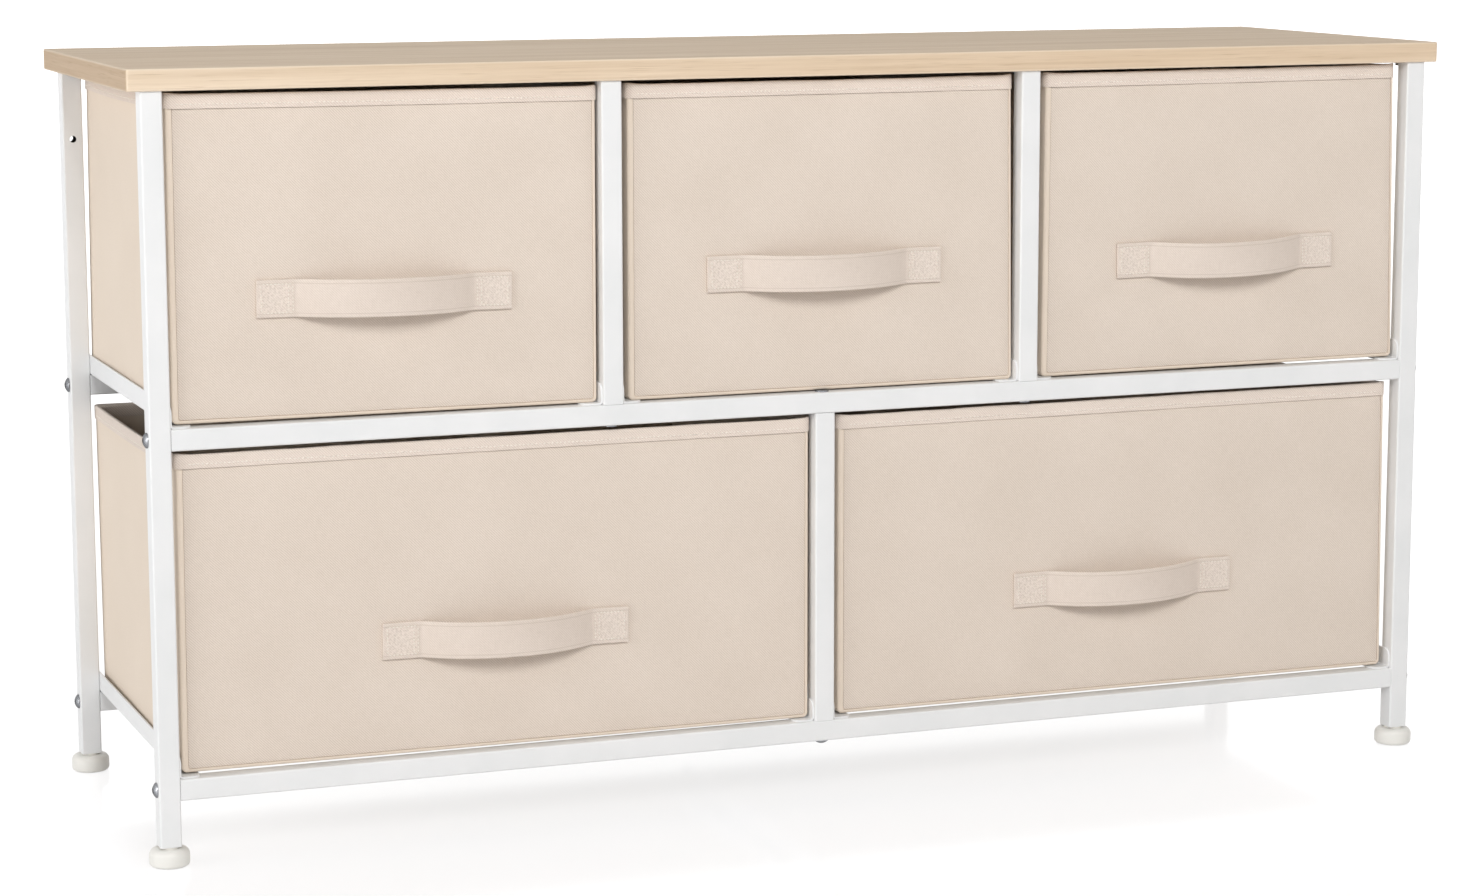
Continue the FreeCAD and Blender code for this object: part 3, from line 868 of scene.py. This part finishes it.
def bind_rim(bay):
    """The folded binding round the drawer's rim, standing a little proud, with small ears."""
    low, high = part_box(bay + "_hem")
    low -= Vector((BAND_PROUD, BAND_PROUD, BAND_LONGER))
    high += Vector((BAND_PROUD, BAND_PROUD, 0.0))
    middle = (low + high) / 2
    half = (high.x - low.x) / 2

    def inside(p, margin=0.0):
        reach = BAND - margin - HAIR
        return abs(p.x - middle.x) < half - reach and low.y + reach < p.y < high.y - reach

    band = block(bay + "_rim_binding", low, high)
    edit(band)
    pick("EDGE", lambda p, d: abs(d.z) > 0.9)
    roll_edges(BAND_CORNER, 5)
    pick("EDGE", lambda p, d: p.z > high.z - HAIR)
    roll_edges(BAND_FOLD, 3)
    pick("FACE", lambda p, n: n.z > 0.99)
    bpy.ops.mesh.inset(thickness=BAND - BAND_FOLD, depth=0.0)
    draw_out(z=low.z - high.z)
    pick("VERT", lambda p: inside(p) and p.y < middle.y)
    push(y=FRONT_WALL - WALL)
    pick("FACE", lambda p, n: abs(n.z) > 0.99 and p.z < low.z + HAIR)
    bpy.ops.mesh.delete(type="ONLY_FACE")
    inner_front = low.y + BAND + FRONT_WALL - WALL
    pick("EDGE", lambda p, d: inside(p) and p.y > inner_front - HAIR and p.z > high.z - HAIR)
    roll_edges(BAND_INNER_FOLD, 2)
    pick("VERT", lambda p: inside(p, BAND_INNER_FOLD) and p.z > high.z - BAND_INNER_FOLD - HAIR)
    push(z=-BAND_FALL)
    for axis in (0, 1):
        slice_evenly(axis, low[axis], high[axis], BAND_CELL)
    slice_evenly(2, low.z, high.z, BAND_CELL_UP)
    done()

    def upper(p):
        return ease((p.z - low.z) / (high.z - low.z))

    def front_corner(p):
        outward = abs(p.x - middle.x) - half + EAR_SPAN
        return ease(1.0 - (p.y - low.y) / EAR_SPAN) * ease(outward / EAR_SPAN) * upper(p)

    shift_points(band, weigh(band, "ears", front_corner), "Z", EAR)
    wave = ripple(bay + "_band_wave", BAND_WAVE_LONG)
    shift_points(band, weigh(band, "band", lambda p: 1.0), "Y", BAND_WAVE, wave)
    shift_points(band, weigh(band, "fold", upper), "Z", BAND_WAVE, wave)
    finish_with(band, "SOLIDIFY", thickness=BAND_CLOTH, offset=-1.0)
    smooth(band, 50)
    dress(band, bay + "_drawer", hem_cloth, "hem_fabric", bay + "_hem")
    return band


def sew_strap(bay, panel):
    """The folded strap: flat sewn ends and a bow between them, not quite level."""
    low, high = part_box(bay + "_handle")
    middle = (low + high) / 2
    half = (high.x - low.x) / 2
    wide = high.z - low.z
    shift, rise, slope, droop = SEAT[bay]["strap"]
    middle += Vector((shift, 0.0, rise)) * MM
    seat = min(
        corner.co.y
        for corner in panel.data.vertices
        if abs(abs(corner.co.x - middle.x) - half + STRAP_PATCH / 2) < STRAP_PATCH / 2
        and abs(corner.co.z - middle.z) < wide / 2
    )
    bin_low, bin_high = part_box(bay + "_bin")
    seat -= SEAT[bay]["lean"] * MM * (middle.z - bin_low.z) / (bin_high.z - bin_low.z)
    line = seat - STRAP_THICK / 2 + HAIR
    crown = low.y + STRAP_THICK / 2
    bpy.ops.object.select_all(action="DESELECT")
    bpy.ops.curve.primitive_bezier_curve_add(radius=1, location=(0, 0, 0))
    route = bpy.context.object
    bpy.ops.object.mode_set(mode="EDIT")
    bpy.ops.curve.select_all(action="SELECT")
    bpy.ops.curve.subdivide(number_cuts=3)
    done()
    patch_end = half - STRAP_PATCH
    stops = (
        (-half, line, 0.0, STRAP_BEND),
        (-patch_end, line, 0.0, STRAP_BEND),
        (0.0, crown, droop * MM, STRAP_BOW),
        (patch_end, line, 0.0, STRAP_BEND),
        (half, line, 0.0, STRAP_BEND),
    )
    for point, (x, y, hang, reach) in zip(route.data.splines[0].bezier_points, stops):
        here = Vector((middle.x + x, y, middle.z + slope * x - hang))
        point.handle_left_type = "FREE"
        point.handle_right_type = "FREE"
        point.co = here
        point.handle_left = here - Vector((reach, 0, slope * reach))
        point.handle_right = here + Vector((reach, 0, slope * reach))
    route.data.dimensions = "3D"
    route.data.twist_mode = "Z_UP"
    route.data.resolution_u = 24
    length = route.data.splines[0].calc_length()
    bpy.ops.object.select_all(action="DESELECT")
    bpy.ops.mesh.primitive_grid_add(
        x_subdivisions=STRAP_CELLS[0],
        y_subdivisions=STRAP_CELLS[1],
        size=1,
        location=(length / 2, 0, 0),
        rotation=(math.pi / 2, 0, 0),
    )
    strap = bpy.context.object
    strap.name = bay + "_strap"
    strap.data.name = strap.name
    strap.scale = (length, wide, 1)
    place_down()
    flat_map = strap.data.uv_layers[0]
    flat_map.name = "strap"
    for loop in strap.data.loops:
        place = strap.data.vertices[loop.vertex_index].co
        flat_map.data[loop.index].uv = (place.x - length / 2, place.z)
    folded = weigh(strap, "folded_edge", lambda p: ease((abs(p.z) - wide / 2 + STRAP_FOLD) / STRAP_FOLD_RUN))
    shift_points(strap, folded, "Y", -STRAP_FOLD_HIGH)
    finish_with(strap, "SOLIDIFY", thickness=STRAP_THICK, offset=0.0)
    finish_with(strap, "BEVEL", width=STRAP_EDGE, segments=3, limit_method="ANGLE", angle_limit=math.radians(60))
    finish_with(strap, "CURVE", object=route, deform_axis="POS_X")
    bpy.data.objects.remove(route)
    smooth(strap, 50)
    dress(strap, bay + "_drawer", strap_cloth, "strap_fabric", bay + "_handle")
    return strap


def stitch_row(start, end, outward, pitch=STITCH_PITCH, long=STITCH_LONG):
    """One row of thread stitches along a straight seam."""
    start, end = Vector(start), Vector(end)
    run = end - start
    count = max(2, int(run.length / pitch))
    along = run.normalized()
    out = Vector(outward).normalized()
    bpy.ops.object.select_all(action="DESELECT")
    bpy.ops.mesh.primitive_ico_sphere_add(subdivisions=1, radius=0.5)
    row = bpy.context.object
    row.scale = (long, STITCH_WIDE, STITCH_HIGH)
    turn = Matrix((along, out.cross(along), out)).transposed()
    row.rotation_euler = turn.to_euler()
    row.location = start + along * ((run.length - (count - 1) * pitch) / 2)
    place_down()
    finish_with(
        row,
        "ARRAY",
        count=count,
        use_relative_offset=False,
        use_constant_offset=True,
        constant_offset_displace=along * pitch,
    )
    return row


def join_rows(name, bay, rows):
    take(rows[0])
    for row in rows:
        row.select_set(True)
    bpy.ops.object.join()
    stitches = bpy.context.object
    stitches.name = bay + name
    stitches.data.name = stitches.name
    take(stitches)
    bpy.ops.object.shade_smooth()
    dress(stitches, bay + "_drawer", thread, "strap_fabric")
    return stitches


def stitch_rim(bay):
    """Thread along the binding, on all four sides."""
    low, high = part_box(bay + "_hem")
    proud = Vector((BAND_PROUD, BAND_PROUD, 0.0))
    low, high = low - proud, high + proud
    level = low.z - BAND_LONGER + RIM_STITCH_UP
    corner = BAND_CORNER + RIM_STITCH_END
    rows = [
        stitch_row((low.x + corner, low.y, level), (high.x - corner, low.y, level), (0, -1, 0)),
        stitch_row((high.x - corner, high.y, level), (low.x + corner, high.y, level), (0, 1, 0)),
        stitch_row((low.x, high.y - corner, level), (low.x, low.y + corner, level), (-1, 0, 0)),
        stitch_row((high.x, low.y + corner, level), (high.x, high.y - corner, level), (1, 0, 0)),
    ]
    return join_rows("_rim_stitching", bay, rows)


def stitch_strap(bay, strap):
    """Thread round the strap's sewn ends, doubled at the inner side."""
    low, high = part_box(bay + "_handle")
    shift, rise, slope = SEAT[bay]["strap"][:3]
    middle = (low + high) / 2 + Vector((shift, 0.0, rise)) * MM
    half = (high.x - low.x) / 2
    tall = (high.z - low.z) / 2 - BOX_STITCH_IN
    flat_end = middle.x - half + BOX_STITCH_FLAT
    face = min(corner.co.y for corner in strap.data.vertices if corner.co.x < flat_end)
    rows = []
    for mirror in (-1, 1):

        def spot(from_end, height):
            x = mirror * (half - from_end)
            return (middle.x + x, face, middle.z + slope * x + height)

        seams = [(spot(BOX_STITCH_OUTER, z), spot(BOX_STITCH_INNER, z)) for z in (-tall, tall)]
        for from_end in (BOX_STITCH_OUTER, BOX_STITCH_INNER, BOX_STITCH_SECOND):
            seams.append((spot(from_end, -tall), spot(from_end, tall)))
        for first, last in seams:
            rows.append(stitch_row(first, last, (0, -1, 0), BOX_STITCH_PITCH, BOX_STITCH_LONG))
    return join_rows("_strap_stitching", bay, rows)


def settle(bay, pieces):
    """Leans and sags a drawer's pieces together, as its cloth sits on the runners, by a cage round its bin."""
    low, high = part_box(bay + "_bin")
    size = high - low
    seat = SEAT[bay]
    bpy.ops.object.select_all(action="DESELECT")
    bpy.ops.object.add(type="LATTICE", location=(low + high) / 2)
    cage = bpy.context.object
    cage.scale = size
    cage.data.points_u, cage.data.points_v, cage.data.points_w = 7, 7, 2
    for way in "uvw":
        setattr(cage.data, "interpolation_type_" + way, "KEY_LINEAR")
    for point in cage.data.points:
        across, back = point.co.x + 0.5, point.co.y + 0.5
        at_rim = point.co.z > 0
        left, right = seat["rim"] if at_rim else seat["base"]
        left += seat["tuck"][at_rim] * back**2
        if at_rim:
            slack = seat["sag"][0] * (1.0 - across) ** 3 + seat["sag"][1] * across**3
            drop = slack * math.sin(math.pi * back) + seat["rear"] * back**2
            drop -= (seat["lift"][0] * (1.0 - across) ** 2 + seat["lift"][1] * across) * (1.0 - back)
            point.co_deform.y -= seat["lean"] * (1.0 - back) ** 2 * MM / size.y
        else:
            rise = seat["front"][0] * (1.0 - across) + seat["front"][1] * across
            drop = -rise if back < 0.1 else 0.0
        point.co_deform.x += (left + (right - left) * across) * MM / size.x
        point.co_deform.z -= drop * MM / size.z
    for piece in pieces:
        finish_with(piece, "LATTICE", object=cage)
    bpy.data.objects.remove(cage)


for bay in BAYS:
    shell = sew_shell(bay)
    panel = sew_front_panel(bay)
    band = bind_rim(bay)
    strap = sew_strap(bay, panel)
    stitch_strap(bay, strap)
    settle(bay, (shell, cut_stiffener(bay), panel, band, stitch_rim(bay)))


# Feet
def turn_foot(node):
    low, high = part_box(node)
    middle = (low + high) / 2
    radius = (high.x - low.x) / 2
    neck_high = NECK_TOP - PAD_HEIGHT
    bpy.ops.object.select_all(action="DESELECT")
    bpy.ops.mesh.primitive_cylinder_add(
        vertices=48,
        radius=radius,
        depth=PAD_HEIGHT,
        location=(middle.x, middle.y, low.z + PAD_HEIGHT / 2),
    )
    foot = bpy.context.object
    foot.name = node + "_pad"
    foot.data.name = foot.name
    place_down()
    edit(foot)
    pick("EDGE", lambda p, d: abs(d.z) < 0.1 and p.z > low.z + PAD_HEIGHT - HAIR)
    roll_edges(PAD_UPPER_ROUND, 6)
    pick("EDGE", lambda p, d: abs(d.z) < 0.1 and p.z < low.z + HAIR)
    roll_edges(PAD_LOWER_ROUND, 4)
    pick("FACE", lambda p, n: n.z > 0.9 and p.z > low.z + PAD_HEIGHT - HAIR)
    bpy.ops.mesh.inset(thickness=radius - PAD_UPPER_ROUND - NECK_RADIUS, depth=0.0)
    centre = (middle.x, middle.y, low.z + PAD_HEIGHT)
    draw_out(z=neck_high * NECK_SHARE)
    grow = COLLAR_RADIUS / NECK_RADIUS
    bpy.ops.transform.resize(value=(grow, grow, 1.0), center_override=centre)
    draw_out(z=neck_high * (1.0 - NECK_SHARE) - HAIR)
    bpy.ops.mesh.inset(thickness=COLLAR_RADIUS - STUD_RADIUS, depth=0.0)
    draw_out(z=high.z - NECK_TOP)
    pick("FACE", lambda p, n: n.z < -0.9 and p.z < low.z + HAIR)
    bpy.ops.mesh.inset(thickness=SOLE_RIM, depth=0.0)
    bpy.ops.mesh.inset(thickness=SOLE_STEP, depth=-SOLE_DEEP)
    done()
    smooth(foot, 40)
    dress(foot, node + "_body", ivory, "ivory_plastic", node)


for end in ENDS:
    for side in SIDES:
        turn_foot(f"foot_{end}_{side}")


# Finishes of the solid parts
def paint(node, finish):
    part = frame["nodes"][node]
    part.data.materials.clear()
    part.data.materials.append(finish)


slot_finish = {
    "oak_board": oak,
    "white_powder_coat": powder_coat,
    "zinc": zinc,
    "black_nylon": black_nylon,
    "ivory_plastic": ivory,
    "drawer_fabric": lining,
    "hem_fabric": hem_cloth,
    "strap_fabric": hem_cloth,
    "fibreboard": fibreboard,
}
for subpart in frame["record"]["subparts"]:
    paint(subpart["node"], slot_finish[subpart["material_slot"]])


# Floor, light and camera
def seen_ray(tree):
    """Where a ray comes from the camera, straight or by a mirror or glass."""
    path = add(tree, "ShaderNodeLightPath")
    seen = reckon(tree, "MAXIMUM", path.outputs["Is Camera Ray"], path.outputs["Is Glossy Ray"])
    return reckon(tree, "MAXIMUM", seen, path.outputs["Is Transmission Ray"])


def lay_floor():
    bpy.ops.object.select_all(action="DESELECT")
    bpy.ops.mesh.primitive_circle_add(
        vertices=96,
        radius=FLOOR_RADIUS,
        fill_type="NGON",
        location=(0, 0, -FLOOR_DROP),
    )
    floor = bpy.context.object
    floor.name = "studio_floor"
    finish, tree, shader, place = new_finish("studio_white")
    shader.inputs["Roughness"].default_value = 0.12
    shader.inputs["Specular IOR Level"].default_value = 0.2
    seen = seen_ray(tree)
    shade = blend_colours(tree, seen, (0.9, 0.9, 0.91, 1.0), (0.3, 0.3, 0.31, 1.0))
    feed(tree, shader.inputs["Base Color"], shade)
    shader.inputs["Emission Color"].default_value = (1.0, 1.0, 1.0, 1.0)
    feed(tree, shader.inputs["Emission Strength"], reckon(tree, "MULTIPLY", seen, 0.73))
    from_below = add(tree, "ShaderNodeNewGeometry").outputs["Backfacing"]
    feed(tree, shader.inputs["Alpha"], reckon(tree, "SUBTRACT", 1.0, from_below))
    floor.data.materials.append(finish)


def light_world():
    world = bpy.data.worlds.new("studio")
    world.use_nodes = True
    tree = world.node_tree
    back = tree.nodes["Background"]
    seen = seen_ray(tree)
    back.inputs["Color"].default_value = (1.0, 1.0, 1.0, 1.0)
    way = add(tree, "ShaderNodeSeparateXYZ")
    feed(tree, way.inputs[0], add(tree, "ShaderNodeTexCoord").outputs["Generated"])
    room = spread(tree, way.outputs[2], 0.0, 1.0, 0.38, 0.18)
    behind = spread(tree, way.outputs[1], 0.0, 0.7, 0.0, 0.9)
    behind = reckon(tree, "MULTIPLY", behind, spread(tree, way.outputs[2], 0.0, 0.6, 1.0, 0.1))
    room = reckon(tree, "ADD", room, behind)
    feed(tree, back.inputs["Strength"], reckon(tree, "MAXIMUM", room, seen))
    bpy.context.scene.world = world


def hang_lamp(name, place, target, size, watts, tint=(1.0, 1.0, 1.0)):
    lamp = bpy.data.lights.new(name, "AREA")
    lamp.shape = "RECTANGLE"
    lamp.size, lamp.size_y = size
    lamp.energy = watts
    lamp.color = tint
    holder = bpy.data.objects.new(name, lamp)
    bpy.context.scene.collection.objects.link(holder)
    holder.location = place
    way = Vector(target) - Vector(place)
    holder.rotation_euler = way.to_track_quat("-Z", "Y").to_euler()


def set_camera():
    lens = bpy.data.cameras.new("studio_camera")
    holder = bpy.data.objects.new("studio_camera", lens)
    bpy.context.scene.collection.objects.link(holder)
    lens.sensor_fit = "HORIZONTAL"
    lens.sensor_width = 36.0
    lens.lens = CAMERA_LENS
    lens.clip_start = 0.05
    lens.clip_end = 100.0
    yaw, pitch, tilt = CAMERA_TURN
    turn = Matrix.Rotation(-yaw, 3, "Z") @ Matrix.Rotation(math.pi / 2 - pitch, 3, "X")
    turn = turn @ Matrix.Rotation(tilt, 3, "Z")
    holder.location = CAMERA_PLACE
    holder.rotation_euler = turn.to_euler()
    bpy.context.scene.camera = holder


lay_floor()
light_world()
hang_lamp("key", (-0.5, -3.6, 2.4), (0.0, 0.0, 0.25), (1.6, 1.2), 80.0)
hang_lamp("left", (-3.6, -1.1, 1.1), (0.0, 0.0, 0.3), (2.6, 2.2), 57.0)
hang_lamp("right", (3.4, -2.2, 1.8), (0.0, 0.0, 0.3), (2.4, 2.0), 15.0, (1.0, 0.92, 0.8))
set_camera()
bpy.context.scene.view_settings.view_transform = "Standard"
